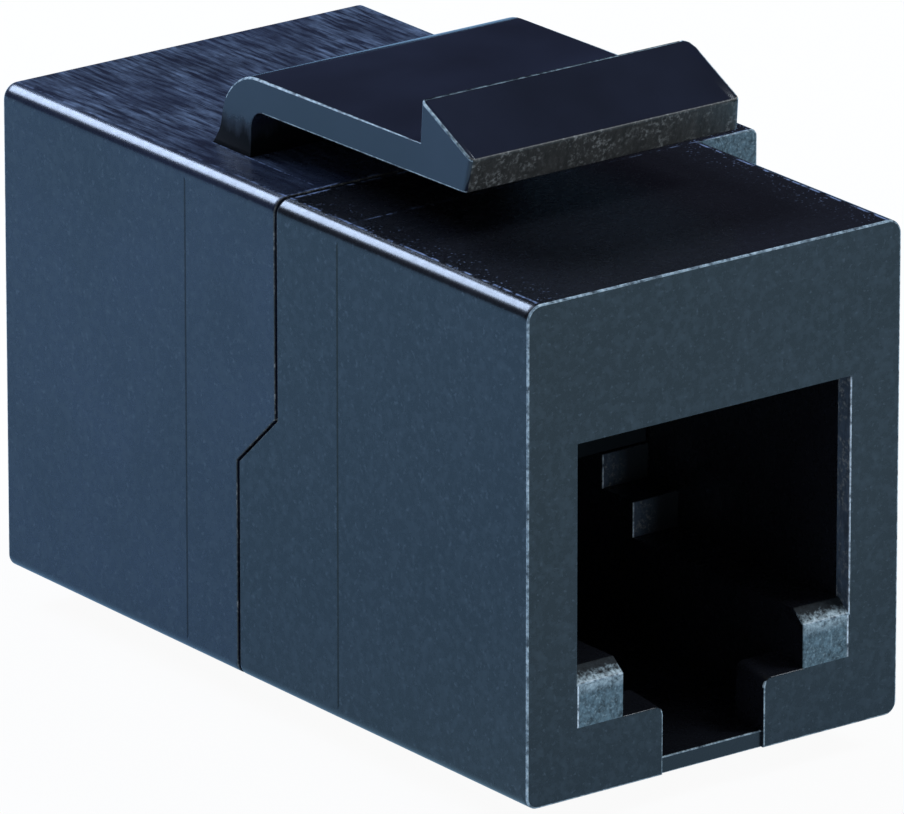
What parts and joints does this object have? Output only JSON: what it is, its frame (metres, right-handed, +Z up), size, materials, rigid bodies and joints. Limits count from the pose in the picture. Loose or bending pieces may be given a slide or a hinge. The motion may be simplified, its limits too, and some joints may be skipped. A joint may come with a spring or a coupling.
{
  "type": "keystone coupler jack",
  "caption": "In-line keystone module with a modular plug socket at each end, a sprung snap latch on its roof and a side stop tab, for a wall plate or patch panel.",
  "frame": {"origin": "on the centre line of the body, halfway up it, in the plane where the panel's rear face meets the side stop tab", "axes": "+X across the body towards the side stop tab, +Y from the front socket to the rear socket, +Z up towards the snap latch"},
  "size_m": [0.0161, 0.0271, 0.021],
  "materials": {
    "housing": "black moulded ABS, fine spark-eroded texture",
    "carrier": "black moulded insulator",
    "contact": "gold-plated phosphor bronze strip"
  },
  "bodies": {
    "housings": {"front_housing": "housing", "rear_housing": "housing", "contact_carrier": "carrier", "contact_1": "contact", "contact_2": "contact", "contact_3": "contact", "contact_4": "contact", "contact_5": "contact", "contact_6": "contact"},
    "latch": {"snap_latch": "housing"}
  },
  "joints": [
    {"name": "latch_flex", "type": "hinge", "parent": "housings", "child": "latch", "pos_m": [0, 0.00797, 0.00875], "axis": [1, 0, 0], "range_deg": [0, 7.5], "stiffness_Nm_per_rad": 0.1}
  ]
}
